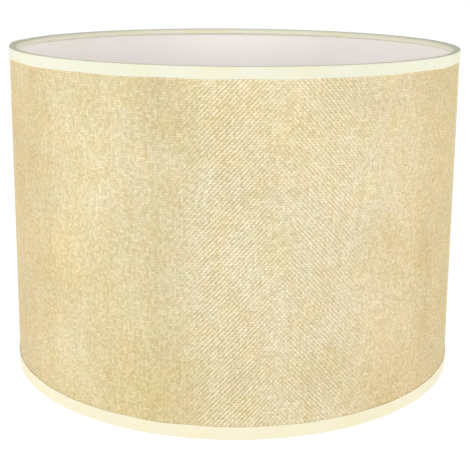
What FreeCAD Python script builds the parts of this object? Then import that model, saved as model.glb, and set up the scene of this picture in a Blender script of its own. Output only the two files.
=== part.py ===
# Drum lamp shade: cloth bonded to a stiff liner, wrapped round two wire rings and lapped at one
# side, with cloth tape rolled over both rings. The bottom ring carries a recessed three-arm fitter
# with a loose plastic reducer ring. Millimetres, +Z up, origin at the bottom centre. The front
# faces -Y and the lapped seam is on the -X side.
import FreeCAD
import Part
import math
import os
import Sketcher

doc = FreeCAD.newDocument("lamp_shade")

# ---------------------------------------------------------------------------------------------
# Driving dimensions
# ---------------------------------------------------------------------------------------------
SIZES = {
    # The panel: cloth bonded to a liner
    "cover_radius": 175.0,      # outside of the cloth
    "panel_height": 250.0,      # cut height of cloth and liner
    "cloth_thick": 0.5,
    "lining_thick": 0.4,
    # The lapped seam, as angles round +Z from +X
    "ramp_start": 170.0,        # where the outer end starts to ride up over the inner end
    "ramp_end": 176.0,
    "lap_start": 178.0,         # the inner end's edge
    "lap_end": 182.0,           # the outer end's edge
    "hem_start": 178.8,         # the cloth's edge, folded back under the outer end
    "liner_end": 181.83,        # the liner's edge, inside the fold
    "seam_tape_thick": 0.15,
    "seam_tape_start": 178.3,
    "seam_tape_end": 181.7,
    # Rings and edge tapes
    "wire_radius": 2.0,
    "glue_gap": 0.05,           # glue film round a ring
    "tape_thick": 0.8,
    "top_tape_width": 8.4,      # seen on the outside, from the shade's top edge
    "bottom_tape_width": 9.8,
    "tape_step": 0.7,           # angle past the lap in which the tape falls back to the cloth
    # Fitter
    "arm_radius": 1.5,
    "arm_hole_radius": 1.75,    # slit in the bottom tape for an arm
    "arm_stub": 4.0,            # level run of an arm at the ring
    "arm_bend_radius": 6.0,
    "arm_slope": 50.0,
    "weld_depth": 0.4,          # how far an arm is pressed into the fitter ring
    "arm_overlap": 4.0,         # length of arm that lies on the fitter ring
    "fitter_height": 20.0,      # underside of the fitter ring above the bottom edge
    "fitter_thick": 1.5,
    "fitter_outer_radius": 29.0,
    "fitter_hole_radius": 21.0,
    "fitter_edge": 0.3,
    # Loose reducer ring
    "bore_radius": 14.5,
    "hub_radius": 20.9,
    "hub_depth": 3.2,
    "flange_radius": 24.0,
    "flange_thick": 1.6,
    "reducer_edge": 0.5,
}

sheet = doc.addObject("Spreadsheet::Sheet", "Sizes")
for row, (alias, value) in enumerate(SIZES.items(), start=1):
    sheet.set(f"A{row}", alias)
    sheet.set(f"B{row}", str(value))
    sheet.setAlias(f"B{row}", alias)
doc.recompute()

# Lengths that more than one piece needs, worked out from the sheet
PANEL_BOTTOM = "Sizes.tape_thick"
PANEL_TOP = "(Sizes.tape_thick + Sizes.panel_height)"
CLOTH_IN = "(Sizes.cover_radius - Sizes.cloth_thick)"
LINING_IN = "(Sizes.cover_radius - Sizes.cloth_thick - Sizes.lining_thick)"
# The lap lifts the outer end by its own two layers, the folded hem and the adhesive strip
LAP_RISE = "(2 * Sizes.cloth_thick + Sizes.lining_thick + Sizes.seam_tape_thick)"
RING_RADIUS = f"({LINING_IN} - Sizes.glue_gap - Sizes.wire_radius)"
RING_INSET = "(Sizes.glue_gap + Sizes.wire_radius)"
FITTER_TOP = "(Sizes.fitter_height + Sizes.fitter_thick)"
ARM_ANGLES = (270.0, 30.0, 150.0)


# ---------------------------------------------------------------------------------------------
# Helpers
# ---------------------------------------------------------------------------------------------
def number(expression):
    """The value of an expression over the sheet's cells."""
    value = sheet.evalExpression(expression)
    return float(getattr(value, "Value", value))


def polar(radius, angle):
    """A point of an outline, from expressions for its radius and its angle."""
    return (f"({radius}) * cos({angle})", f"({radius}) * sin({angle})")


def new_body(label):
    body = doc.addObject("PartDesign::Body", label + "_body")
    body.Label = label
    return body


def new_sketch(body, name, plane, offset=None):
    """A sketch on one of the body's origin planes, lifted along its normal by an expression."""
    sketch = body.newObject("Sketcher::SketchObject", name)
    for feature in body.Origin.OriginFeatures:
        if feature.Role == plane:
            sketch.AttachmentSupport = [(feature, "")]
    sketch.MapMode = "FlatFace"
    if offset:
        sketch.setExpression(".AttachmentOffset.Base.z", offset)
    return sketch


def draw_chain(sketch, points, arcs, closed=True):
    """Draw edges through points. arcs maps an edge's index to (centre, radius, turn), where turn
    is +1 for an arc that runs anticlockwise. Every size is bound to the sheet."""
    places = [FreeCAD.Vector(number(x), number(y), 0) for x, y in points]
    edge_count = len(points) if closed else len(points) - 1
    starts, ends = {}, {}
    for index in range(edge_count):
        first, last = places[index], places[(index + 1) % len(points)]
        if index not in arcs:
            edge = sketch.addGeometry(Part.LineSegment(first, last), False)
            starts[index], ends[index] = (edge, 1), (edge, 2)
            continue
        centre, radius, turn = arcs[index]
        middle = FreeCAD.Vector(number(centre[0]), number(centre[1]), 0)
        circle = Part.Circle(middle, FreeCAD.Vector(0, 0, 1), number(radius))
        angles = [math.atan2((p - middle).y, (p - middle).x) for p in (first, last)]
        if turn < 0:
            angles.reverse()
        if angles[1] <= angles[0]:
            angles[1] += 2 * math.pi
        edge = sketch.addGeometry(Part.ArcOfCircle(circle, angles[0], angles[1]), False)
        starts[index], ends[index] = ((edge, 1), (edge, 2)) if turn > 0 else ((edge, 2), (edge, 1))
        row = sketch.addConstraint(Sketcher.Constraint("Radius", edge, number(radius)))
        sketch.setExpression(f"Constraints[{row}]", radius)
    for index in range(edge_count if closed else edge_count - 1):
        follower = (index + 1) % edge_count
        sketch.addConstraint(Sketcher.Constraint("Coincident", *ends[index], *starts[follower]))
    anchors = [starts[index] for index in range(edge_count)]
    if not closed:
        anchors.append(ends[edge_count - 1])
    for (x, y), place, anchor in zip(points, places, anchors):
        row = sketch.addConstraint(Sketcher.Constraint("DistanceX", *anchor, place.x))
        sketch.setExpression(f"Constraints[{row}]", x)
        row = sketch.addConstraint(Sketcher.Constraint("DistanceY", *anchor, place.y))
        sketch.setExpression(f"Constraints[{row}]", y)


def draw_circle(sketch, x, y, radius):
    """A circle whose centre and radius are expressions."""
    centre = FreeCAD.Vector(number(x), number(y), 0)
    circle = Part.Circle(centre, FreeCAD.Vector(0, 0, 1), number(radius))
    edge = sketch.addGeometry(circle, False)
    for kind, place, expression in (("DistanceX", (edge, 3), x), ("DistanceY", (edge, 3), y),
                                    ("Radius", (edge,), radius)):
        row = sketch.addConstraint(Sketcher.Constraint(kind, *place, number(expression)))
        sketch.setExpression(f"Constraints[{row}]", expression)


def pad(body, sketch, length, reverse=False):
    feature = body.newObject("PartDesign::Pad", sketch.Name + "_pad")
    feature.Profile = sketch
    feature.Reversed = reverse
    feature.setExpression("Length", length)
    return feature


def pocket(body, sketch, length, reverse=False):
    """Cut the sketch out of the body, and stop if nothing was cut."""
    doc.recompute()
    before = body.Shape.Volume
    feature = body.newObject("PartDesign::Pocket", sketch.Name + "_pocket")
    feature.Profile = sketch
    feature.Reversed = reverse
    feature.setExpression("Length", length)
    doc.recompute()
    assert body.Shape.Volume < before - 1.0, f"{feature.Name} cut nothing"
    return feature


def revolve(body, sketch):
    """Turn a sketch of the XZ plane about the body's Z axis."""
    feature = body.newObject("PartDesign::Revolution", sketch.Name + "_revolution")
    feature.Profile = sketch
    for axis in body.Origin.OriginFeatures:
        if axis.Role == "Z_Axis":
            feature.ReferenceAxis = (axis, [""])
    feature.Angle = 360.0
    return feature


ORIGIN = ("0", "0")


# ---------------------------------------------------------------------------------------------
# The panel: each layer is an outline seen from above, padded to the panel's height
# ---------------------------------------------------------------------------------------------
def make_fabric_cover():
    """The cloth goes once round, rides up over its inner end and folds under the liner's edge."""
    outer = "Sizes.cover_radius"
    lifted_outer = f"({outer} + {LAP_RISE})"
    lifted_inner = f"({CLOTH_IN} + {LAP_RISE})"
    hem_outer = f"({lifted_inner} - Sizes.lining_thick)"
    hem_inner = f"({hem_outer} - Sizes.cloth_thick)"
    points = [
        polar(outer, "Sizes.lap_start"),
        polar(outer, "Sizes.ramp_start"),
        polar(lifted_outer, "Sizes.ramp_end"),
        polar(lifted_outer, "Sizes.lap_end"),
        polar(hem_inner, "Sizes.lap_end"),
        polar(hem_inner, "Sizes.hem_start"),
        polar(hem_outer, "Sizes.hem_start"),
        polar(hem_outer, "Sizes.liner_end"),
        polar(lifted_inner, "Sizes.liner_end"),
        polar(lifted_inner, "Sizes.ramp_end"),
        polar(CLOTH_IN, "Sizes.ramp_start"),
        polar(CLOTH_IN, "Sizes.lap_start"),
    ]
    arcs = {
        0: (ORIGIN, outer, 1),
        2: (ORIGIN, lifted_outer, 1),
        4: (ORIGIN, hem_inner, -1),
        6: (ORIGIN, hem_outer, 1),
        8: (ORIGIN, lifted_inner, -1),
        10: (ORIGIN, CLOTH_IN, -1),
    }
    body = new_body("fabric_cover")
    sketch = new_sketch(body, "cloth_outline", "XY_Plane", PANEL_BOTTOM)
    draw_chain(sketch, points, arcs)
    pad(body, sketch, "Sizes.panel_height")
    return body


def make_lining():
    """The liner follows the cloth's inner face and stops inside the cloth's fold."""
    lifted_outer = f"({CLOTH_IN} + {LAP_RISE})"
    lifted_inner = f"({LINING_IN} + {LAP_RISE})"
    points = [
        polar(CLOTH_IN, "Sizes.lap_start"),
        polar(CLOTH_IN, "Sizes.ramp_start"),
        polar(lifted_outer, "Sizes.ramp_end"),
        polar(lifted_outer, "Sizes.liner_end"),
        polar(lifted_inner, "Sizes.liner_end"),
        polar(lifted_inner, "Sizes.ramp_end"),
        polar(LINING_IN, "Sizes.ramp_start"),
        polar(LINING_IN, "Sizes.lap_start"),
    ]
    arcs = {
        0: (ORIGIN, CLOTH_IN, 1),
        2: (ORIGIN, lifted_outer, 1),
        4: (ORIGIN, lifted_inner, -1),
        6: (ORIGIN, LINING_IN, -1),
    }
    body = new_body("lining")
    sketch = new_sketch(body, "lining_outline", "XY_Plane", PANEL_BOTTOM)
    draw_chain(sketch, points, arcs)
    pad(body, sketch, "Sizes.panel_height")
    return body


def make_seam_tape():
    """The adhesive strip between the inner end's cloth and the folded hem."""
    inner = "Sizes.cover_radius"
    outer = "(Sizes.cover_radius + Sizes.seam_tape_thick)"
    points = [
        polar(outer, "Sizes.seam_tape_start"),
        polar(outer, "Sizes.seam_tape_end"),
        polar(inner, "Sizes.seam_tape_end"),
        polar(inner, "Sizes.seam_tape_start"),
    ]
    body = new_body("seam_tape")
    sketch = new_sketch(body, "seam_tape_outline", "XY_Plane", PANEL_BOTTOM)
    draw_chain(sketch, points, {0: (ORIGIN, outer, 1), 2: (ORIGIN, inner, -1)})
    pad(body, sketch, "Sizes.panel_height")
    return body


# ---------------------------------------------------------------------------------------------
# Rings and edge tapes
# ---------------------------------------------------------------------------------------------
def make_ring(label, height):
    ring = doc.addObject("Part::Torus", label + "_torus")
    ring.Label = label
    ring.setExpression("Radius1", RING_RADIUS)
    ring.setExpression("Radius2", "Sizes.wire_radius")
    ring.setExpression(".Placement.Base.z", height)
    return ring


def make_trim_tape(label, edge, inward, width):
    """Tape rolled over a ring: down the outside of the cloth, over the edge, round the wire and
    back to the liner. edge is the panel edge's height and inward is the sign that leads from it
    into the shade."""
    away = "-" if inward == "+" else "+"
    outer = "(Sizes.cover_radius + Sizes.tape_thick)"
    over_edge = f"({edge} {away} Sizes.tape_thick)"
    strip_end = f"({edge} {inward} ({width} - Sizes.tape_thick))"
    wire_height = f"({edge} {inward} {RING_INSET})"
    inner_wrap = "(Sizes.wire_radius + Sizes.glue_gap)"
    outer_wrap = f"({inner_wrap} + Sizes.tape_thick)"
    tuck_near = f"({wire_height} {inward} {inner_wrap})"
    tuck_far = f"({wire_height} {inward} {outer_wrap})"
    tuck_radius = f"({LINING_IN} - Sizes.glue_gap)"
    points = [
        ("Sizes.cover_radius", strip_end),
        (outer, strip_end),
        (outer, edge),
        ("Sizes.cover_radius", over_edge),
        (RING_RADIUS, over_edge),
        (f"{RING_RADIUS} - {outer_wrap}", wire_height),
        (RING_RADIUS, tuck_far),
        (tuck_radius, tuck_far),
        (tuck_radius, tuck_near),
        (RING_RADIUS, tuck_near),
        (f"{RING_RADIUS} - {inner_wrap}", wire_height),
        (RING_RADIUS, edge),
        ("Sizes.cover_radius", edge),
    ]
    roll = 1 if inward == "-" else -1
    wire_centre = (RING_RADIUS, wire_height)
    arcs = {
        2: (("Sizes.cover_radius", edge), "Sizes.tape_thick", roll),
        4: (wire_centre, outer_wrap, roll),
        5: (wire_centre, outer_wrap, roll),
        9: (wire_centre, inner_wrap, -roll),
        10: (wire_centre, inner_wrap, -roll),
    }
    body = new_body(label)
    section = new_sketch(body, label + "_section", "XZ_Plane")
    draw_chain(section, points, arcs)
    revolve(body, section)

    # The tape rides over the lapped seam: a raised patch, then the seam's own shape cut from it
    raised = f"({outer} + {LAP_RISE})"
    rooted = "(Sizes.cover_radius + Sizes.tape_thick / 2)"
    cleared = "(Sizes.cover_radius - Sizes.glue_gap)"
    lifted = f"(Sizes.cover_radius + {LAP_RISE})"
    patch_points = [
        polar(rooted, "Sizes.ramp_start - Sizes.tape_step"),
        polar(raised, "Sizes.ramp_end"),
        polar(raised, "Sizes.lap_end + Sizes.tape_step / 2"),
        polar(rooted, "Sizes.lap_end + Sizes.tape_step"),
    ]
    patch = new_sketch(body, label + "_patch", "XY_Plane", over_edge)
    draw_chain(patch, patch_points, {1: (ORIGIN, raised, 1), 3: (ORIGIN, rooted, -1)})
    pad(body, patch, width, reverse=(inward == "-"))
    seam_points = [
        polar(cleared, "Sizes.ramp_start"),
        polar("Sizes.cover_radius", "Sizes.ramp_start"),
        polar(lifted, "Sizes.ramp_end"),
        polar(lifted, "Sizes.lap_end"),
        polar(cleared, "Sizes.lap_end"),
    ]
    seam = new_sketch(body, label + "_seam", "XY_Plane", edge)
    draw_chain(seam, seam_points, {2: (ORIGIN, lifted, 1), 4: (ORIGIN, cleared, -1)})
    pocket(body, seam, width, reverse=(inward == "+"))
    return body


def slit_for_arms(body):
    """Round slits in the bottom tape's inner wall, where the arms meet the ring."""
    slit = new_sketch(body, "arm_slit", "XZ_Plane", f"({RING_RADIUS} - 2 * Sizes.wire_radius)")
    draw_circle(slit, "0", f"{PANEL_BOTTOM} + {RING_INSET}", "Sizes.arm_hole_radius")
    cut = pocket(body, slit, "2 * Sizes.wire_radius", reverse=True)
    before = body.Shape.Volume
    pattern = body.newObject("PartDesign::PolarPattern", "arm_slits")
    pattern.Originals = [cut]
    for axis in body.Origin.OriginFeatures:
        if axis.Role == "Z_Axis":
            pattern.Axis = (axis, [""])
    pattern.Angle = 360.0
    pattern.Occurrences = len(ARM_ANGLES)
    body.Tip = pattern
    doc.recompute()
    assert body.Shape.Volume < before - 1.0, "the arm slits were not repeated"


# ---------------------------------------------------------------------------------------------
# Fitter
# ---------------------------------------------------------------------------------------------
def make_fitter_ring():
    """The washer that sits on the lampholder."""
    body = new_body("fitter_ring")
    sketch = new_sketch(body, "fitter_outline", "XY_Plane", "Sizes.fitter_height")
    draw_circle(sketch, "0", "0", "Sizes.fitter_outer_radius")
    draw_circle(sketch, "0", "0", "Sizes.fitter_hole_radius")
    plate = pad(body, sketch, "Sizes.fitter_thick")
    doc.recompute()
    rims = [f"Edge{i}" for i, edge in enumerate(plate.Shape.Edges, start=1)
            if edge.Curve.TypeId == "Part::GeomCircle"
            and abs(edge.Curve.Radius - number("Sizes.fitter_outer_radius")) < 0.01]
    edges = body.newObject("PartDesign::Fillet", "fitter_edges")
    edges.Base = (plate, rims)
    edges.setExpression("Radius", "Sizes.fitter_edge")
    return body


def make_arm(label, angle, welded_to):
    """A wire that leaves the bottom ring level, climbs to the fitter and lies on its washer. Its
    two ends are shaped by the pieces that they are welded to."""
    low = f"({PANEL_BOTTOM} + {RING_INSET})"
    high = f"({FITTER_TOP} + Sizes.arm_radius - Sizes.weld_depth)"
    bend = "Sizes.arm_bend_radius"
    slope = "Sizes.arm_slope"
    start = RING_RADIUS
    first_bend = f"({RING_RADIUS} - Sizes.wire_radius - Sizes.arm_stub)"
    climb = f"({high} - {low} - 2 * {bend} * (1 - cos({slope})))"
    second_bend = f"({first_bend} - 2 * {bend} * sin({slope}) - {climb} / tan({slope}))"
    finish = "(Sizes.fitter_outer_radius - Sizes.arm_overlap)"
    points = [
        (start, low),
        (first_bend, low),
        (f"{first_bend} - {bend} * sin({slope})", f"{low} + {bend} * (1 - cos({slope}))"),
        (f"{second_bend} + {bend} * sin({slope})", f"{high} - {bend} * (1 - cos({slope}))"),
        (second_bend, high),
        (finish, high),
    ]
    arcs = {
        1: ((first_bend, f"{low} + {bend}"), bend, -1),
        3: ((second_bend, f"{high} - {bend}"), bend, 1),
    }
    wire = doc.addObject("PartDesign::Body", label + "_wire")
    path = new_sketch(wire, label + "_path", "XZ_Plane")
    draw_chain(path, points, arcs, closed=False)
    section = new_sketch(wire, label + "_section", "YZ_Plane", start)
    draw_circle(section, "0", low, "Sizes.arm_radius")
    doc.recompute()
    pipe = wire.newObject("PartDesign::AdditivePipe", label + "_pipe")
    pipe.Profile = section
    pipe.Spine = (path, [f"Edge{i}" for i in range(1, len(points))])
    wire.Placement = FreeCAD.Placement(FreeCAD.Vector(0, 0, 0),
                                       FreeCAD.Rotation(FreeCAD.Vector(0, 0, 1), angle))
    arm = doc.addObject("Part::Cut", label + "_cut")
    arm.Label = label
    arm.Base = wire
    arm.Tool = welded_to
    return arm


def make_reducer_ring():
    """A plastic ring that drops into the washer's hole and hangs on its flange."""
    edge = "Sizes.reducer_edge"
    foot = f"({FITTER_TOP} - Sizes.hub_depth)"
    crown = f"({FITTER_TOP} + Sizes.flange_thick)"
    points = [
        ("Sizes.bore_radius", foot),
        (f"Sizes.hub_radius - {edge}", foot),
        ("Sizes.hub_radius", f"{foot} + {edge}"),
        ("Sizes.hub_radius", FITTER_TOP),
        ("Sizes.flange_radius", FITTER_TOP),
        ("Sizes.flange_radius", f"{crown} - {edge}"),
        (f"Sizes.flange_radius - {edge}", crown),
        ("Sizes.bore_radius", crown),
    ]
    arcs = {5: ((f"Sizes.flange_radius - {edge}", f"{crown} - {edge}"), edge, 1)}
    body = new_body("reducer_ring")
    section = new_sketch(body, "reducer_section", "XZ_Plane")
    draw_chain(section, points, arcs)
    revolve(body, section)
    return body


# ---------------------------------------------------------------------------------------------
# The shade
# ---------------------------------------------------------------------------------------------
fabric_cover = make_fabric_cover()
lining = make_lining()
seam_tape = make_seam_tape()
top_ring = make_ring("top_ring", f"{PANEL_TOP} - {RING_INSET}")
bottom_ring = make_ring("bottom_ring", f"{PANEL_BOTTOM} + {RING_INSET}")
top_tape = make_trim_tape("top_trim_tape", PANEL_TOP, "-", "Sizes.top_tape_width")
bottom_tape = make_trim_tape("bottom_trim_tape", PANEL_BOTTOM, "+", "Sizes.bottom_tape_width")
slit_for_arms(bottom_tape)
fitter_ring = make_fitter_ring()

weld_faces = doc.addObject("Part::MultiFuse", "weld_faces")
weld_faces.Shapes = [bottom_ring, fitter_ring]
spider_arms = [make_arm(f"spider_arm_{count}", angle, weld_faces)
               for count, angle in enumerate(ARM_ANGLES, start=1)]
reducer_ring = make_reducer_ring()

SUB_PARTS = [fabric_cover, lining, seam_tape, top_ring, bottom_ring, top_tape, bottom_tape,
             fitter_ring, *spider_arms, reducer_ring]

# ---------------------------------------------------------------------------------------------
# Check and write
# ---------------------------------------------------------------------------------------------
doc.recompute()
for item in doc.Objects:
    bad = [state for state in item.State if state in ("Invalid", "Error")]
    assert not bad, f"{item.Name} did not compute: {item.State}"
os.makedirs("parts", exist_ok=True)
for part in SUB_PARTS:
    shape = part.Shape
    assert not shape.isNull() and shape.isValid(), f"{part.Label} has no valid shape"
    assert len(shape.Solids) == 1, f"{part.Label} is {len(shape.Solids)} solids"
    shape.exportStep(f"parts/{part.Label}.step")
    box = shape.BoundBox
    print(f"{part.Label:20s} {shape.Volume:12.1f} mm3   x {box.XMin:8.2f} {box.XMax:8.2f}"
          f"   y {box.YMin:8.2f} {box.YMax:8.2f}   z {box.ZMin:8.2f} {box.ZMax:8.2f}")
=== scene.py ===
# Looks of a drum lamp shade: woven cloth on a white liner, lapped at the -X side, with cloth tape
# rolled over two wire rings, and a wire fitter with a loose reducer ring inside the lower edge.
# Metres, +Z up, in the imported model's own frame. Angles are degrees round +Z from +X, and the
# front faces -Y, at 270 degrees.
import math

import bpy
import numpy as np
from mathutils import Matrix, Vector


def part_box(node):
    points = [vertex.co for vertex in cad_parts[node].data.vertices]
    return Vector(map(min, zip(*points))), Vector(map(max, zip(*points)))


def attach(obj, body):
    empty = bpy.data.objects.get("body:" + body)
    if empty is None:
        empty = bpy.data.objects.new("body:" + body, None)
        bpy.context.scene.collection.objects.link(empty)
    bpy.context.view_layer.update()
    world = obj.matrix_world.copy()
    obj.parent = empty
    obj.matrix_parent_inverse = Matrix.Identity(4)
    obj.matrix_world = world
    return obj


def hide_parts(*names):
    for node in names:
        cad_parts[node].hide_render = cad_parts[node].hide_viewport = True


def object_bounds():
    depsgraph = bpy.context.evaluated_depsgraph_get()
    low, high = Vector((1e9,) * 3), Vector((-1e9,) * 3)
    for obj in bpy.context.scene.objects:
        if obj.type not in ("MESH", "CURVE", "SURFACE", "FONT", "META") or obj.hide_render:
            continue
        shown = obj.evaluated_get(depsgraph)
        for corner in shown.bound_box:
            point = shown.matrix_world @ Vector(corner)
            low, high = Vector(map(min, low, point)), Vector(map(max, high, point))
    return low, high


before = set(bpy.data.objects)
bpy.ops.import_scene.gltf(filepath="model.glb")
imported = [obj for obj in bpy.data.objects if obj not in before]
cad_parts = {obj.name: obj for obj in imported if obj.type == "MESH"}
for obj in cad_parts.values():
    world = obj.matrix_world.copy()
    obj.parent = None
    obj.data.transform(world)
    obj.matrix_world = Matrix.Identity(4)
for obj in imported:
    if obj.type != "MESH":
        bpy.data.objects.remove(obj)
cad_box = [list(corner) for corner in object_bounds()]
scene = bpy.context.scene
MM = 0.001

# ---------------------------------------------------------------------------------------------
# Sizes, read from the frame
# ---------------------------------------------------------------------------------------------
cover_low, cover_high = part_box("fabric_cover")
PANEL_BOTTOM, PANEL_TOP = cover_low.z, cover_high.z
COVER_RADIUS = cover_high.x                          # outside of the cloth
LAP_RISE = -cover_low.x - COVER_RADIUS               # how far the lap stands out at the seam
CLOTH_THICK = COVER_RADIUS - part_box("lining")[1].x
LINING_THICK = 0.4 * MM                              # as designed: a box doesn't show it
LINER_GAP = 0.04 * MM                                # left for the bond between liner and cloth
TAPE_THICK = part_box("top_trim_tape")[1].x - COVER_RADIUS
TOP_RING_LOW, TOP_RING_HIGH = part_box("top_ring")
WIRE_RADIUS = (TOP_RING_HIGH.z - TOP_RING_LOW.z) / 2
RING_RADIUS = TOP_RING_HIGH.x - WIRE_RADIUS          # centre line of the ring wires
GLUE_GAP = COVER_RADIUS - CLOTH_THICK - LINING_THICK - RING_RADIUS - WIRE_RADIUS
SHADE_TOP = cad_box[1][2]

# The lapped seam
RAMP_START, RAMP_END = 170.0, 176.0                  # the outer end rides up over the inner end
LAP_START, LAP_END = 178.0, 182.0                    # edges of the inner and the outer end
HEM_START, LINER_END = 178.8, 181.83                 # ends of the hem and of the outer liner
FRONT = 270.0
TURN = 360.0

# The panel's sheets laid flat: once round and the lap and hem, by the height
PANEL_FLAT = (1.124, PANEL_TOP - PANEL_BOTTOM)


def smoothstep(low, high, value):
    """0 below low, 1 above high, and a smooth rise between."""
    share = np.clip((np.asarray(value, float) - low) / (high - low), 0.0, 1.0)
    return share * share * (3.0 - 2.0 * share)


def wander(seed, position, spacing, count=5):
    """A smooth random line through position, about -1 to 1, with waves near spacing long."""
    draws = np.random.default_rng(seed)
    total = np.zeros_like(np.asarray(position, float))
    for _ in range(count):
        length = spacing * draws.uniform(0.6, 1.8)
        total += np.sin(2 * math.pi * (position / length + draws.uniform()))
    return total / math.sqrt(count * 0.5) * 0.6


WAVE_DEPTH = 0.12 * MM
WAVE_TURNS = (3, 5, 8, 13, 21)                       # waves in one turn round the shade
CALM_FROM, CALM_TO = 8.0, 25.0                       # the waves fade in this far from the seam


def panel_wave(angle, height):
    """How far the panel stands in or out between the rings, which hold it round at its edges."""
    share = (height - PANEL_BOTTOM) / (PANEL_TOP - PANEL_BOTTOM)
    draws = np.random.default_rng(11)
    total = np.zeros(np.broadcast(angle, height).shape)
    for turns in WAVE_TURNS:
        phase, tilt, rise = draws.uniform(0, 2 * math.pi, 3)
        total += np.sin(np.radians(turns * angle) + phase + tilt * share) \
            * (0.6 + 0.4 * np.sin(2 * math.pi * share + rise)) / turns ** 0.4
    held = np.sin(math.pi * np.clip(share, 0.0, 1.0)) ** 1.5
    from_seam = np.abs((angle - RAMP_END + TURN / 2) % TURN - TURN / 2)
    return WAVE_DEPTH * total * held * smoothstep(CALM_FROM, CALM_TO, from_seam)


# ---------------------------------------------------------------------------------------------
# Mesh helpers
# ---------------------------------------------------------------------------------------------
SHARP_ANGLE = 50.0                                   # steeper edges than this aren't shaded smooth


def shell(name, outer, inner, uv):
    """A closed sheet from two matching grids of points. uv gives each grid point's place on the
    flat sheet, in metres."""
    rows, columns = outer.shape[:2]
    count = rows * columns
    grid = np.arange(count).reshape(rows, columns)

    def quads(a):
        return np.stack([a[:-1, :-1], a[:-1, 1:], a[1:, 1:], a[1:, :-1]], -1).reshape(-1, 4)

    def rim(a):
        return np.stack([a[:-1], a[:-1] + count, a[1:] + count, a[1:]], -1)

    faces = np.concatenate([
        quads(grid),
        quads(grid + count)[:, ::-1],
        rim(grid[0]),
        rim(grid[-1])[:, ::-1],
        rim(grid[:, 0])[:, ::-1],
        rim(grid[:, -1]),
    ])
    points = np.concatenate([outer.reshape(-1, 3), inner.reshape(-1, 3)])
    mesh = bpy.data.meshes.new(name)
    mesh.from_pydata(points.tolist(), [], faces.tolist())
    layer = mesh.uv_layers.new(name="cloth")
    flat = np.concatenate([uv.reshape(-1, 2)] * 2)
    layer.data.foreach_set("uv", flat[faces.ravel()].ravel())
    mesh.shade_smooth()
    mesh.set_sharp_from_angle(angle=math.radians(SHARP_ANGLE))
    piece = bpy.data.objects.new(name, mesh)
    scene.collection.objects.link(piece)
    return piece


def offset_sides(line, half):
    """The two faces of a sheet of half thickness half, each side of a line in a plane."""
    along = np.gradient(line, axis=0)
    along /= np.linalg.norm(along, axis=1, keepdims=True)
    normal = np.stack([along[:, 1], -along[:, 0]], -1)
    return line + normal * half, line - normal * half


def panel_layer(name, line, angles, thickness, row_count):
    """A layer of the panel: its line seen from above, given thickness and the panel's height."""
    heights = np.linspace(PANEL_BOTTOM, PANEL_TOP, row_count)[:, None]
    wave = panel_wave(angles[None, :], heights)
    outward = np.stack([np.cos(np.radians(angles)), np.sin(np.radians(angles))], -1)
    faces = []
    for side in offset_sides(line, thickness / 2):
        points = np.empty((row_count, len(angles), 3))
        points[..., :2] = side[None] + wave[..., None] * outward[None]
        points[..., 2] = heights
        faces.append(points)
    length = np.concatenate([[0.0], np.cumsum(np.linalg.norm(np.diff(line, axis=0), axis=1))])
    uv = np.stack(np.broadcast_arrays(length[None, :], heights - PANEL_BOTTOM), -1)
    return shell(name, *faces, uv)


COVER_ROWS, LINER_ROWS = 101, 61                     # rows of points up the panel


def lap_angles(last):
    """Column angles of a layer that goes once round and over the lap, to the angle last."""
    return np.concatenate([
        np.arange(LAP_START, RAMP_START + TURN, 1.5),
        np.arange(RAMP_START, RAMP_END, 0.5) + TURN,
        np.linspace(RAMP_END, last, 9) + TURN,
    ])


def lapped_line(radius, angles):
    """Points at radius that rise on to the lap."""
    reach = radius + LAP_RISE * smoothstep(RAMP_START + TURN, RAMP_END + TURN, angles)
    turned = np.radians(angles)
    return np.stack([reach * np.cos(turned), reach * np.sin(turned)], -1)


def make_cover():
    """The cloth: once round, over the lap, and folded back under the liner's edge."""
    angles = lap_angles(LAP_END)
    main = lapped_line(COVER_RADIUS - CLOTH_THICK / 2, angles)
    lap_centre = COVER_RADIUS + LAP_RISE - CLOTH_THICK / 2
    fold = (CLOTH_THICK + LINING_THICK) / 2          # radius of the fold's middle line
    edge = math.radians(LAP_END)
    out = np.array([math.cos(edge), math.sin(edge)])
    along = np.array([-math.sin(edge), math.cos(edge)])
    swing = np.radians(np.linspace(15, 180, 12))[:, None]
    bend = out * (lap_centre - fold + fold * np.cos(swing)) + along * fold * np.sin(swing)
    hem_angles = np.linspace(LAP_END, HEM_START, 6)[1:]
    hem_radius = lap_centre - 2 * fold
    hem = hem_radius * np.stack([np.cos(np.radians(hem_angles)),
                                 np.sin(np.radians(hem_angles))], -1)
    line = np.concatenate([main, bend, hem])
    all_angles = np.concatenate([angles, np.full(len(bend), LAP_END), hem_angles])
    return panel_layer("cloth_cover", line, all_angles, CLOTH_THICK, COVER_ROWS)


def make_lining():
    """The white liner bonded inside the cloth."""
    angles = lap_angles(LINER_END)
    radius = COVER_RADIUS - CLOTH_THICK - LINING_THICK / 2 - LINER_GAP / 2
    line = lapped_line(radius, angles)
    return panel_layer("liner_sheet", line, angles, LINING_THICK - LINER_GAP, LINER_ROWS)


# ---------------------------------------------------------------------------------------------
# Edge tapes
# ---------------------------------------------------------------------------------------------
TAPE_HALF, PRESSED_HALF = 0.21 * MM, 0.16 * MM       # half the tape's thickness, and at its overlap
TAPE_GLUE = 0.05 * MM
TAPE_JOINT, TAPE_OVERLAP = RAMP_START - 16.0, 4.0
TAPE_STEP = 0.75                                     # degrees between sections
ARM_ANGLES = (FRONT, 30.0, 150.0)
# How unevenly the tape lies, and how long the waves are: its cut edge on the cloth, the strip on
# the cloth, the stretch from the panel to the wire, and the roll round the wire
EDGE_UNEVEN, EDGE_WAVE = 0.22 * MM, 45.0 * MM
STRIP_LIFT, STRIP_WAVE = 0.04 * MM, 20.0 * MM
SAG_DEPTH, SAG_WAVE = 0.12 * MM, 12.0 * MM
PUCKER_DEPTH, PUCKER_WAVE = 0.07 * MM, 11.0 * MM
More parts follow.
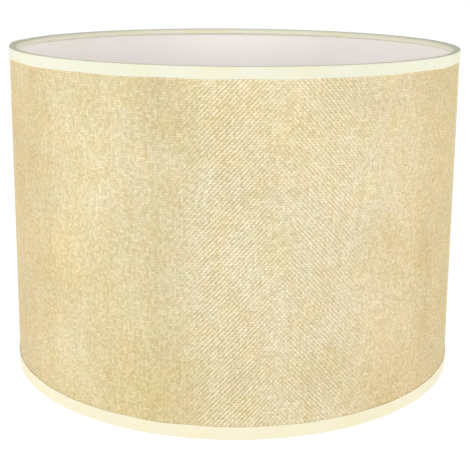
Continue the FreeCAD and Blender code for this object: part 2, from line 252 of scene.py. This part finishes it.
# Where the roll ends inside, in degrees round the wire from straight out
TUCK_ANGLE, TUCK_UNEVEN, TUCK_WAVE = 307.0, 5.0, 20.0 * MM
# The lip at each arm, with its spread along the ring and, in degrees, round the wire
LIP_HEIGHT, LIP_ALONG, LIP_ROUND = 0.5 * MM, 3.0 * MM, 32.0


def tape_points(angle, width, off, seed, slits):
    """The tape's section at one angle: (radius, depth from the panel's edge) of its middle line,
    which runs at the distance off from what the tape lies on. It goes from the cut edge on the
    cloth, over the panel's edge and round the wire, and has a lip at each arm if slits is set."""
    place = math.radians(angle) * COVER_RADIUS
    bump = LAP_RISE * (smoothstep(RAMP_START - 0.6, RAMP_END - 0.4, angle % TURN)
                       - smoothstep(LAP_END + 0.3, LAP_END + 1.8, angle % TURN))
    edge = width - TAPE_THICK + EDGE_UNEVEN * wander(seed, place, EDGE_WAVE)
    strip_radius = COVER_RADIUS + off + STRIP_LIFT * (1 + wander(seed + 1, place, STRIP_WAVE))
    rows = [(strip_radius + bump, depth) for depth in np.linspace(edge, 0.0, 9)]
    for swing in np.radians(np.linspace(22.5, 90, 4)):
        rows.append((COVER_RADIUS + bump + off * math.cos(swing), -off * math.sin(swing)))
    sag = SAG_DEPTH * (1 + wander(seed + 2, place, SAG_WAVE))
    for share in (0.25, 0.5, 0.75):
        radius = COVER_RADIUS + bump + (RING_RADIUS - COVER_RADIUS - bump) * share
        rows.append((radius, -off + sag * math.sin(math.pi * share)))
    roll = WIRE_RADIUS + GLUE_GAP + off
    pucker = PUCKER_DEPTH * wander(seed + 3, place, PUCKER_WAVE, 7)
    tuck = TUCK_ANGLE - TUCK_UNEVEN * wander(seed + 4, place, TUCK_WAVE)
    for swing in np.linspace(90.0, tuck, 24):
        reach = roll + pucker * smoothstep(110.0, 200.0, swing)
        for arm in ARM_ANGLES if slits else ():
            aside = ((angle - arm + TURN / 2) % TURN - TURN / 2) * math.radians(RING_RADIUS)
            reach += LIP_HEIGHT * math.exp(-(aside / LIP_ALONG) ** 2
                                           - ((swing - 180) / LIP_ROUND) ** 2)
        turned = math.radians(swing)
        rows.append((RING_RADIUS + reach * math.cos(turned),
                     GLUE_GAP + WIRE_RADIUS - reach * math.sin(turned)))
    return np.array(rows)


def make_tape(name, edge, inward, width, seed, slits=False):
    """Tape rolled over a ring and lapped over its own start, pressed thinner there. inward is the
    sign that leads from the panel's edge into the shade."""
    run = np.arange(0.0, TURN + TAPE_OVERLAP + 0.01, TAPE_STEP)
    under = 1.0 - smoothstep(TAPE_OVERLAP, TAPE_OVERLAP + 1.5, run)
    over = smoothstep(TURN - 1.2, TURN + 0.1, run)
    halves = TAPE_HALF - (TAPE_HALF - PRESSED_HALF) * (under + over)
    offs = halves + TAPE_GLUE + (2 * PRESSED_HALF + TAPE_GLUE) * over
    sides, uv = ([], []), []
    for angle, half, off in zip(TAPE_JOINT + run, halves, offs):
        section = tape_points(angle, width, off, seed, slits)
        turned = math.radians(angle)
        for store, side in zip(sides, offset_sides(section, -half)):
            store.append(np.stack([side[:, 0] * math.cos(turned),
                                   side[:, 0] * math.sin(turned),
                                   edge + inward * side[:, 1]], -1))
        length = np.cumsum(np.linalg.norm(np.diff(section, axis=0), axis=1))
        uv.append(np.stack([np.full(len(section), turned * COVER_RADIUS),
                            np.concatenate([[0.0], length])], -1))
    grids = [np.array(side) for side in sides]
    if inward > 0:
        grids.reverse()
    return shell(name, *grids, np.array(uv))


# ---------------------------------------------------------------------------------------------
# Materials
# ---------------------------------------------------------------------------------------------
# Yarns of the cloth and of the tape, apart along the sheet and up it
CLOTH_PITCHES = (1.60 * MM, 1.73 * MM)
TAPE_PITCHES = (0.5 * MM, 0.42 * MM)
DRIFT_SCALE, DRIFT = 40.0, 0.7                       # how far yarns wander, in pitches
SLUB_SCALE = 55.0                                    # of the thick and thin places in a yarn
FIBRE_SCALE, FIBRE_STRETCH = 900.0, 6.0
# Warmer tints of the cloth's plain stretches, to the left and right of the front. The front
# stretch, left without them, keeps a paler colour: a painted sheen
LEFT_TINT, RIGHT_TINT = (1.0, 0.975, 0.85, 1.0), (1.0, 0.915, 0.79, 1.0)
# Faint patches of the cloth's tone: noise scale, place in the noise, tint
BLOTCHES = (
    (7.0, 0.0, (1.0, 0.97, 0.89, 1.0)),
    (60.0, 4.0, (1.01, 0.97, 0.95, 1.0)),
    (75.0, 8.0, (0.975, 1.0, 0.97, 1.0)),
    (50.0, 12.0, (1.0, 0.99, 0.91, 1.0)),
)


def srgb(red, green, blue):
    """A linear colour from 0 to 255 display values."""
    def linear(value):
        value /= 255.0
        return value / 12.92 if value <= 0.04045 else ((value + 0.055) / 1.055) ** 2.4
    return (linear(red), linear(green), linear(blue), 1.0)


class Graph:
    """A node material under construction. Shader settings are named with _ for a space."""

    def __init__(self, name, **shader):
        self.material = bpy.data.materials.new(name)
        self.material.use_nodes = True
        self.tree = self.material.node_tree
        self.shader = self.tree.nodes["Principled BSDF"]
        for socket, value in shader.items():
            self.shader.inputs[socket.replace("_", " ")].default_value = value

    def feed(self, socket, value):
        if isinstance(value, bpy.types.NodeSocket):
            self.tree.links.new(value, socket)
        else:
            socket.default_value = value

    def node(self, kind, inputs=None, **settings):
        made = self.tree.nodes.new("ShaderNode" + kind)
        for name, value in settings.items():
            setattr(made, name, value)
        for name, value in (inputs or {}).items():
            self.feed(made.inputs[name], value)
        return made

    def math(self, operation, *values):
        made = self.node("Math", operation=operation)
        for socket, value in zip(made.inputs, values):
            self.feed(socket, value)
        return made.outputs[0]

    def swing(self, count):
        """A wave from 1 to -1 and back over each two of a count."""
        return self.math("COSINE", self.math("MULTIPLY", count, math.pi))

    def vector(self, x, y, z=0.0):
        return self.node("CombineXYZ", {"X": x, "Y": y, "Z": z}).outputs[0]

    def noise(self, vector, scale, detail=2.0, roughness=0.5):
        return self.node("TexNoise", {"Vector": vector, "Scale": scale, "Detail": detail,
                                      "Roughness": roughness}).outputs["Fac"]

    def span(self, value, low, high, to_low=0.0, to_high=1.0, smooth=False):
        kind = "SMOOTHSTEP" if smooth else "LINEAR"
        return self.node("MapRange", {"Value": value, "From Min": low, "From Max": high,
                                      "To Min": to_low, "To Max": to_high},
                         interpolation_type=kind).outputs[0]

    def mix(self, factor, first, second, blend="MIX"):
        made = self.node("Mix", data_type="RGBA", blend_type=blend)
        for index, value in ((0, factor), (6, first), (7, second)):
            self.feed(made.inputs[index], value)
        return made.outputs[2]

    def coordinates(self, map_name=None):
        if map_name:
            return self.node("UVMap", uv_map=map_name).outputs[0]
        return self.node("TexCoord").outputs["Object"]

    def finish(self, colour, roughness, height=None, distance=1.0):
        """Feeds the shader. height times distance is a relief in metres."""
        self.feed(self.shader.inputs["Base Color"], colour)
        self.feed(self.shader.inputs["Roughness"], roughness)
        if height is not None:
            bump = self.node("Bump", {"Height": height, "Distance": distance, "Strength": 1.0})
            self.feed(self.shader.inputs["Normal"], bump.outputs[0])
        return self.material


def weave(graph, u, v, pitches, crimp, round_height, seed):
    """Plain weave of rounded yarns over flat coordinates u and v. crimp is how far a yarn rises
    over its neighbours and round_height the height of its rounded back. Returns the counts of
    yarns along the sheet and up it, the weave's height, the own tone and the fibres of the yarn
    on top, and a random value for each crossing."""
    pitch_u, pitch_v = pitches
    drift_u = graph.noise(graph.vector(u, v, seed), DRIFT_SCALE, 2.0)
    drift_v = graph.noise(graph.vector(v, u, seed + 3.1), DRIFT_SCALE, 2.0)
    count_u = graph.math("MULTIPLY_ADD", drift_u, DRIFT, graph.math("DIVIDE", u, pitch_u))
    count_v = graph.math("MULTIPLY_ADD", drift_v, DRIFT, graph.math("DIVIDE", v, pitch_v))
    i, j = graph.math("ROUND", count_u), graph.math("ROUND", count_v)

    # Each yarn has its own tone and swells and thins along its length
    own_warp = graph.noise(graph.vector(graph.math("MULTIPLY", i, 1.37),
                                        graph.math("MULTIPLY", v, SLUB_SCALE), seed), 1.0, 3.0)
    own_weft = graph.noise(graph.vector(graph.math("MULTIPLY", j, 1.53),
                                        graph.math("MULTIPLY", u, SLUB_SCALE), seed + 9.0),
                           1.0, 3.0)

    def yarn(count, number, along, sign, own):
        across = graph.math("SUBTRACT", count, number)
        swell = graph.span(own, 0.3, 0.75, 0.75, 1.3)
        back = graph.math("MULTIPLY", graph.math("MULTIPLY", graph.swing(across), round_height),
                          swell)
        rise = graph.math("MULTIPLY", graph.math("MULTIPLY", graph.swing(along),
                                                 graph.swing(number)), sign * crimp)
        return graph.math("ADD", back, rise)

    warp = yarn(count_u, i, count_v, 1.0, own_warp)
    weft = yarn(count_v, j, count_u, -1.0, own_weft)
    height = graph.math("MAXIMUM", warp, weft)
    over = graph.math("GREATER_THAN", warp, weft)
    fibres_u = graph.noise(graph.vector(graph.math("MULTIPLY", u, FIBRE_STRETCH), v),
                           FIBRE_SCALE, 2.0)
    fibres_v = graph.noise(graph.vector(u, graph.math("MULTIPLY", v, FIBRE_STRETCH)),
                           FIBRE_SCALE, 2.0)
    fibres = graph.node("Mix", {0: over, 2: fibres_v, 3: fibres_u}).outputs[0]
    own = graph.node("Mix", {0: over, 2: own_weft, 3: own_warp}).outputs[0]
    crossing = graph.node("TexWhiteNoise", {"Vector": graph.vector(i, j)},
                          noise_dimensions="2D").outputs["Value"]
    return count_u, count_v, height, own, fibres, crossing


def woven_material(name, pitches, tones, crimp, round_height, blotch, gloss, rough, speckle=0.0,
                   rib_shading=0.0, seed=0.0):
    """Plain weave over the sheet's flat coordinates. tones are the colours of the hollows, darker
    as painted shade, of the yarn, and of the yarn's lightest parts, which are partly the yarn's own
    lighter tone and partly a painted highlight on its raised backs. speckle is how much single
    crossings differ, and a ribbing strength brings in the painted light and shade of slanting
    ribbing."""
    graph = Graph(name, Sheen_Weight=0.1, Sheen_Roughness=0.5, Specular_IOR_Level=gloss)
    place = graph.node("SeparateXYZ", {"Vector": graph.coordinates("cloth")})
    u, v = place.outputs[0], place.outputs[1]
    count_u, count_v, height, own, fibres, crossing = weave(
        graph, u, v, pitches, crimp, round_height, seed)

    # Painted shade and highlight in the weave: its low places take the darker colour of the
    # hollows, and the raised backs of yarns with a light own tone take the lightest colour
    gap_shade, middle, light = tones
    level = graph.math("DIVIDE", height, crimp + round_height)
    colour = graph.mix(graph.span(level, 0.1, 0.75, smooth=True), gap_shade, middle)
    lighter = graph.math("MULTIPLY", graph.span(own, 0.35, 0.7), graph.span(level, 0.3, 0.9))
    colour = graph.mix(lighter, colour, light)
    tone = graph.math("MULTIPLY", graph.span(fibres, 0.3, 0.7, 0.95, 1.05),
                      graph.span(crossing, 0.0, 1.0, 1.0 - speckle, 1.0 + speckle))
    relief = graph.math("MULTIPLY_ADD", fibres, 0.08 * round_height, height)
    # Painted light and shade: slanting ribbing in the cloth's tone, as lit yarns show it, with a
    # slight relief as well
    if rib_shading:
        lit_rib, plain, side, painted_shade = painted_rib_shading(graph, u, count_u, count_v)
        # Warmer tints away from the front; the paler front stretch is a painted sheen
        colour = graph.mix(warm_share(graph, u, v, plain), colour,
                           graph.mix(1.0, colour, graph.mix(side, LEFT_TINT, RIGHT_TINT),
                                     "MULTIPLY"))
        # The ribbing's painted light and shade in the cloth's tone
        tone = graph.math("MULTIPLY", tone, graph.math("MULTIPLY_ADD", lit_rib, rib_shading, 1.0))
        for patch, low, high in uneven_tones(graph, u, v):
            tone = graph.math("MULTIPLY", tone, graph.span(patch, 0.3, 0.7, low, high))
        # Painted shade over some stretches of the cloth
        tone = graph.math("MULTIPLY", tone, painted_shade)
        relief = graph.math("MULTIPLY_ADD", lit_rib, 0.2 * round_height, relief)
    # Where the cloth is darker, from its own uneven tone and from the painted shade and ribbing, it
    # is also a deeper straw colour, so blue falls fastest
    shade = graph.node("CombineColor", {"Red": tone, "Green": graph.math("POWER", tone, 1.14),
                                        "Blue": graph.math("POWER", tone, 1.75)}).outputs[0]
    colour = graph.mix(1.0, colour, shade, "MULTIPLY")
    for scale, offset, tint in blotch:
        patch = graph.noise(graph.vector(u, v, seed + offset), scale, 2.0)
        colour = graph.mix(graph.span(patch, 0.45, 0.7, smooth=True), colour,
                           graph.mix(1.0, colour, tint, "MULTIPLY"))
    roughness = graph.span(own, 0.3, 0.7, *rough)
    return graph.finish(colour, roughness, relief)


def warm_share(graph, u, v, plain):
    """How far the cloth takes its warmer tint: more where it is plain, and low down, in clouds. The
    front stretch, which is not plain, stays paler as a painted sheen.
    """
    low = graph.span(v, 0.0, 0.6 * PANEL_FLAT[1], 0.45, 0.0)
    cloud = graph.span(graph.noise(graph.vector(u, v, 3.0), 16.0, 3.0), 0.3, 0.7, 0.5, 1.4)
    return graph.math("MULTIPLY", graph.math("ADD", plain, low), cloud)


def uneven_tones(graph, u, v):
    """The cloth's uneven tone, each as noise and the tones that it runs between: a fine mottle,
    upright bands, and broad patches."""
    mottle = graph.noise(graph.vector(u, v, 5.0), 420.0, 2.0)
    band = graph.noise(graph.vector(u, graph.math("MULTIPLY", v, 0.12), 6.0), 85.0, 2.0)
    broad = graph.noise(graph.vector(u, v, 7.0), 14.0, 2.0)
    return (mottle, 0.94, 1.06), (band, 0.975, 1.025), (broad, 0.955, 1.045)


def painted_rib_shading(graph, u, count_u, count_v):
    """Painted light and shade of ribbing that slants one way over a stretch of the cloth, then the
    other way, then fades out. The stretches are set out in degrees from the front and repeat three
    times round the shade. Returns the painted ribbing, how plain the cloth is (the front stretch,
    not plain, keeps the paler colour of a painted sheen), which of its two tints it takes, and a
    tone that is darker over some stretches, a painted shade."""
    turned = graph.math("MULTIPLY_ADD", u, 180.0 / math.pi / COVER_RADIUS, LAP_START - FRONT)
    zone = graph.math("WRAP", turned, 60.0, -60.0)

    def stretch(rise, full, fade, end, level):
        return graph.math("MULTIPLY", graph.span(zone, rise, full, 0.0, level, smooth=True),
                          graph.span(zone, fade, end, 1.0, 0.0, smooth=True))

    # Painted light and shade of ribbing that slants one way, then of ribbing that slants the other
    # way
    first = graph.math("MULTIPLY", graph.swing(graph.math("SUBTRACT", count_u, count_v)),
                       stretch(-15.0, -4.0, 2.0, 18.0, 1.0))
    second = graph.math("MULTIPLY", graph.swing(graph.math("ADD", count_u, count_v)),
                        stretch(4.0, 16.0, 22.0, 36.0, 0.7))
    uneven = graph.span(graph.noise(graph.vector(u, count_v, 2.0), 70.0), 0.3, 0.6, 0.65, 1.1)
    rib_shading = graph.math("MULTIPLY", graph.math("ADD", first, second), uneven)
    # How plain the cloth is: least over the front stretch, whose paler colour is a painted sheen
    plain = graph.span(graph.math("ABSOLUTE", graph.math("SUBTRACT", zone, 8.0)), 14.0, 48.0)
    turn = graph.math("MULTIPLY", graph.math("SUBTRACT", zone, 10.0), math.radians(3.0))
    side = graph.span(graph.math("SINE", turn), -1.0, 1.0)
    # Painted shade: darker over a stretch to the left of the front, and towards each side
    painted_shade = graph.math("ADD", stretch(-29.0, -16.0, -15.0, -3.0, 0.09),
                      graph.span(graph.math("ABSOLUTE", zone), 40.0, 54.0, 0.0, 0.08,
                                 smooth=True))
    return rib_shading, plain, side, graph.math("SUBTRACT", 1.0, painted_shade)


def liner_material():
    """Matt white laminate with a faint warm cast and a fine grain."""
    graph = Graph("liner_white", Specular_IOR_Level=0.35)
    place = graph.coordinates()
    cast = graph.noise(place, 14.0, 3.0)
    colour = graph.mix(graph.span(cast, 0.3, 0.7), srgb(244, 238, 236), srgb(240, 234, 228))
    speck = graph.noise(place, 420.0, 2.0)
    roughness = graph.span(speck, 0.3, 0.7, 0.5, 0.68)
    return graph.finish(colour, roughness, graph.noise(place, 650.0, 3.0), 0.06 * MM)


def coated_material(name, base, worn, grain, roughness_span, depth):
    """Coated wire, moulded plastic or film: fine orange peel with a slightly uneven gloss."""
    graph = Graph(name, Specular_IOR_Level=0.5)
    place = graph.coordinates()
    patch = graph.noise(place, 60.0, 4.0)
    colour = graph.mix(graph.span(patch, 0.45, 0.75), base, worn)
    speck = graph.noise(place, grain, 3.0)
    roughness = graph.span(patch, 0.3, 0.7, *roughness_span)
    return graph.finish(colour, roughness, speck, depth)


def paint(piece, material):
    """Gives a piece one material all over."""
    if piece.material_slots:
        for place in piece.material_slots:
            place.material = material
    else:
        piece.data.materials.append(material)


# ---------------------------------------------------------------------------------------------
# Pieces
# ---------------------------------------------------------------------------------------------
cover = make_cover()
lining = make_lining()
top_low, top_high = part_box("top_trim_tape")
bottom_low, bottom_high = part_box("bottom_trim_tape")
top_tape = make_tape("top_edge_tape", PANEL_TOP, -1, top_high.z - top_low.z, 21)
bottom_tape = make_tape("bottom_edge_tape", PANEL_BOTTOM, 1, bottom_high.z - bottom_low.z, 41,
                        slits=True)

for piece, node, slot in ((cover, "fabric_cover", "woven_cloth"), (lining, "lining", "liner"),
                          (top_tape, "top_trim_tape", "edge_tape"),
                          (bottom_tape, "bottom_trim_tape", "edge_tape")):
    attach(piece, "shade")
    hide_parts(node)

# The cloth's colours: darker hollows, a painted shade; the yarn; its lightest parts, partly a
# painted highlight
paint(cover, woven_material("woven_cream_cloth", CLOTH_PITCHES,
                            (srgb(216, 201, 160), srgb(228, 214, 178), srgb(236, 225, 193)),
                            crimp=0.11 * MM, round_height=0.24 * MM, blotch=BLOTCHES, gloss=0.35,
                            rough=(0.72, 0.6), speckle=0.10, rib_shading=0.155))
paint(lining, liner_material())
# The same tape at both edges: the bottom one has lighter, warmer tones, painted light from the
# bright floor below. In both, the darkest tone is painted shade in the weave's hollows
for tape, name, tones, seed in (
        (top_tape, "woven_cream_tape", ((230, 228, 205), (238, 237, 216), (242, 241, 222)), 5.0),
        (bottom_tape, "woven_tape_lit_from_floor", ((240, 230, 198), (247, 239, 210), (250, 243, 216)), 8.0)):
    paint(tape, woven_material(name, TAPE_PITCHES, [srgb(*tone) for tone in tones],
                               crimp=0.02 * MM, round_height=0.05 * MM, blotch=BLOTCHES[2:],
                               gloss=0.3, rough=(0.8, 0.7), seed=seed))
wire_coat = coated_material("white_coated_wire", srgb(232, 232, 228), srgb(214, 213, 206),
                            grain=900.0, roughness_span=(0.32, 0.45), depth=0.04 * MM)
moulded = coated_material("white_moulded_plastic", srgb(240, 239, 233), srgb(232, 230, 222),
                          grain=1400.0, roughness_span=(0.38, 0.5), depth=0.02 * MM)
film = coated_material("clear_adhesive_film", srgb(226, 214, 178), srgb(212, 198, 160),
                       grain=500.0, roughness_span=(0.2, 0.35), depth=0.03 * MM)
arms = [f"spider_arm_{index + 1}" for index in range(len(ARM_ANGLES))]
for node in ("top_ring", "bottom_ring", "fitter_ring", *arms):
    paint(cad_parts[node], wire_coat)
paint(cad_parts["reducer_ring"], moulded)
paint(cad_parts["seam_tape"], film)


# ---------------------------------------------------------------------------------------------
# Floor, light and camera
# ---------------------------------------------------------------------------------------------
AMBIENT, OVERHEAD = 1.0, 0.2                         # strengths of the surround
DIM_FROM, DIM_TO = 0.05, 0.75                        # sines of the elevations where it dims
FLOOR_LIGHT, FLOOR_REACH = 0.8 * AMBIENT, 6.0
SOFTBOX_TURN, SOFTBOX_CLIMB = 55.0, 17.0             # degrees to each side of the front, and up
SOFTBOX_DISTANCE, SOFTBOX_SIZE = 2.0, 0.8
LEFT_POWER, RIGHT_POWER = 14.5, 13.0
LENS, SENSOR = 75.66, 36.0                           # millimetres
CAMERA_SHIFT = (0.0025, -0.1683)
CAMERA_PITCH, CAMERA_ROLL = 11.19, 0.452
CAMERA_DISTANCE = 4.5043 * COVER_RADIUS
CAMERA_RISE = 0.3677 * COVER_RADIUS                  # above the shade's top


def make_floor():
    """A flat pale floor, bright enough to have no horizon."""
    mesh = bpy.data.meshes.new("floor")
    corners = [(x * FLOOR_REACH, y * FLOOR_REACH, 0)
               for x, y in ((-1, -1), (1, -1), (1, 1), (-1, 1))]
    mesh.from_pydata(corners, [], [(0, 1, 2, 3)])
    floor = bpy.data.objects.new("floor", mesh)
    scene.collection.objects.link(floor)
    graph = Graph("pale_floor", Specular_IOR_Level=0.0, Emission_Color=(1.0, 1.0, 1.0, 1.0))
    graph.feed(graph.shader.inputs["Emission Strength"], seen_white(graph.tree, FLOOR_LIGHT))
    tone = graph.noise(graph.coordinates(), 3.0, 2.0)
    graph.finish(graph.mix(tone, srgb(88, 88, 88), srgb(92, 92, 92)), 0.9)
    paint(floor, graph.material)


def seen_white(tree, ambient):
    """A strength of 1 where it is seen directly, and ambient as a source of light."""
    seen = tree.nodes.new("ShaderNodeLightPath").outputs["Is Camera Ray"]
    span = tree.nodes.new("ShaderNodeMapRange")
    span.inputs["To Min"].default_value = ambient
    tree.links.new(seen, span.inputs["Value"])
    return span.outputs[0]


def make_world(level, overhead):
    """A white surround, of strength level at the horizon, that dims to overhead above the shade."""
    world = bpy.data.worlds.new("studio")
    world.use_nodes = True
    tree = world.node_tree
    background = tree.nodes["Background"]
    background.inputs["Color"].default_value = (1.0, 1.0, 1.0, 1.0)
    direction = tree.nodes.new("ShaderNodeTexCoord").outputs["Generated"]
    parts = tree.nodes.new("ShaderNodeSeparateXYZ")
    tree.links.new(direction, parts.inputs[0])
    climb = tree.nodes.new("ShaderNodeMapRange")
    climb.interpolation_type = "SMOOTHSTEP"
    for socket, value in (("From Min", DIM_FROM), ("From Max", DIM_TO), ("To Min", level),
                          ("To Max", overhead)):
        climb.inputs[socket].default_value = value
    tree.links.new(parts.outputs["Z"], climb.inputs["Value"])
    strength = seen_white(tree, level)
    tree.links.new(climb.outputs[0], strength.node.inputs["To Min"])
    tree.links.new(strength, background.inputs["Strength"])
    scene.world = world


def softbox(name, azimuth, power):
    """A round light that looks at the middle of the shade. Azimuth 0 is in front, at -Y, and
    turns towards +X."""
    data = bpy.data.lights.new(name, "AREA")
    data.shape, data.size, data.energy = "DISK", SOFTBOX_SIZE, power
    light = bpy.data.objects.new(name, data)
    turn, climb = math.radians(azimuth), math.radians(SOFTBOX_CLIMB)
    away = Vector((math.sin(turn) * math.cos(climb), -math.cos(turn) * math.cos(climb),
                   math.sin(climb)))
    light.location = Vector((0.0, 0.0, SHADE_TOP / 2)) + away * SOFTBOX_DISTANCE
    light.rotation_mode = "QUATERNION"
    light.rotation_quaternion = away.to_track_quat("Z", "Y")
    light.visible_camera = False
    scene.collection.objects.link(light)


def make_camera():
    """In front of the shade, a little above it, looking slightly down."""
    data = bpy.data.cameras.new("camera")
    data.sensor_width, data.lens = SENSOR, LENS
    data.shift_x, data.shift_y = CAMERA_SHIFT
    data.clip_start, data.clip_end = 0.01, 50.0
    camera = bpy.data.objects.new("camera", data)
    pitch, roll = math.radians(CAMERA_PITCH), math.radians(CAMERA_ROLL)
    turned = Matrix.Rotation(math.pi / 2 - pitch, 4, "X") @ Matrix.Rotation(roll, 4, "Z")
    place = Vector((0.0, -CAMERA_DISTANCE, SHADE_TOP + CAMERA_RISE))
    camera.matrix_world = Matrix.Translation(place) @ turned
    scene.collection.objects.link(camera)
    scene.camera = camera


make_floor()
softbox("left_softbox", -SOFTBOX_TURN, LEFT_POWER)
softbox("right_softbox", SOFTBOX_TURN, RIGHT_POWER)
make_world(AMBIENT, OVERHEAD)
scene.view_settings.view_transform = "Standard"
make_camera()
